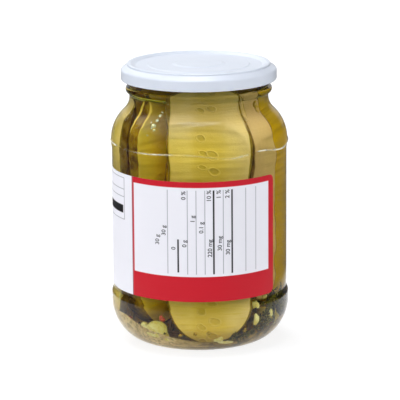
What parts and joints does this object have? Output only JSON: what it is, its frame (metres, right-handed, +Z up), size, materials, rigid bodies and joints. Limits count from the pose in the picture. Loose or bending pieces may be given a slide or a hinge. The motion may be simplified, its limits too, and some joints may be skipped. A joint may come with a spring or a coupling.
{
  "type": "pickle jar",
  "caption": "Closed round glass jar of sliced pickles in brine, with a white twist-off steel lid and a wrap-round paper label.",
  "frame": {"origin": "centre of the bearing ring that the jar stands on", "axes": "+Z up along the jar's axis, -Y towards the side that is looked at, +X to its right"},
  "size_m": [0.0838, 0.0838, 0.1315],
  "materials": {
    "jar": "clear, smooth, glossy",
    "lid": "white gloss lacquer",
    "brine": "clear yellow-green liquid",
    "label": "coated paper, red and white, semi-gloss"
  },
  "bodies": {
    "root": {"jar": "jar", "lid": "lid", "brine": "brine", "label": "label"}
  },
  "joints": []
}
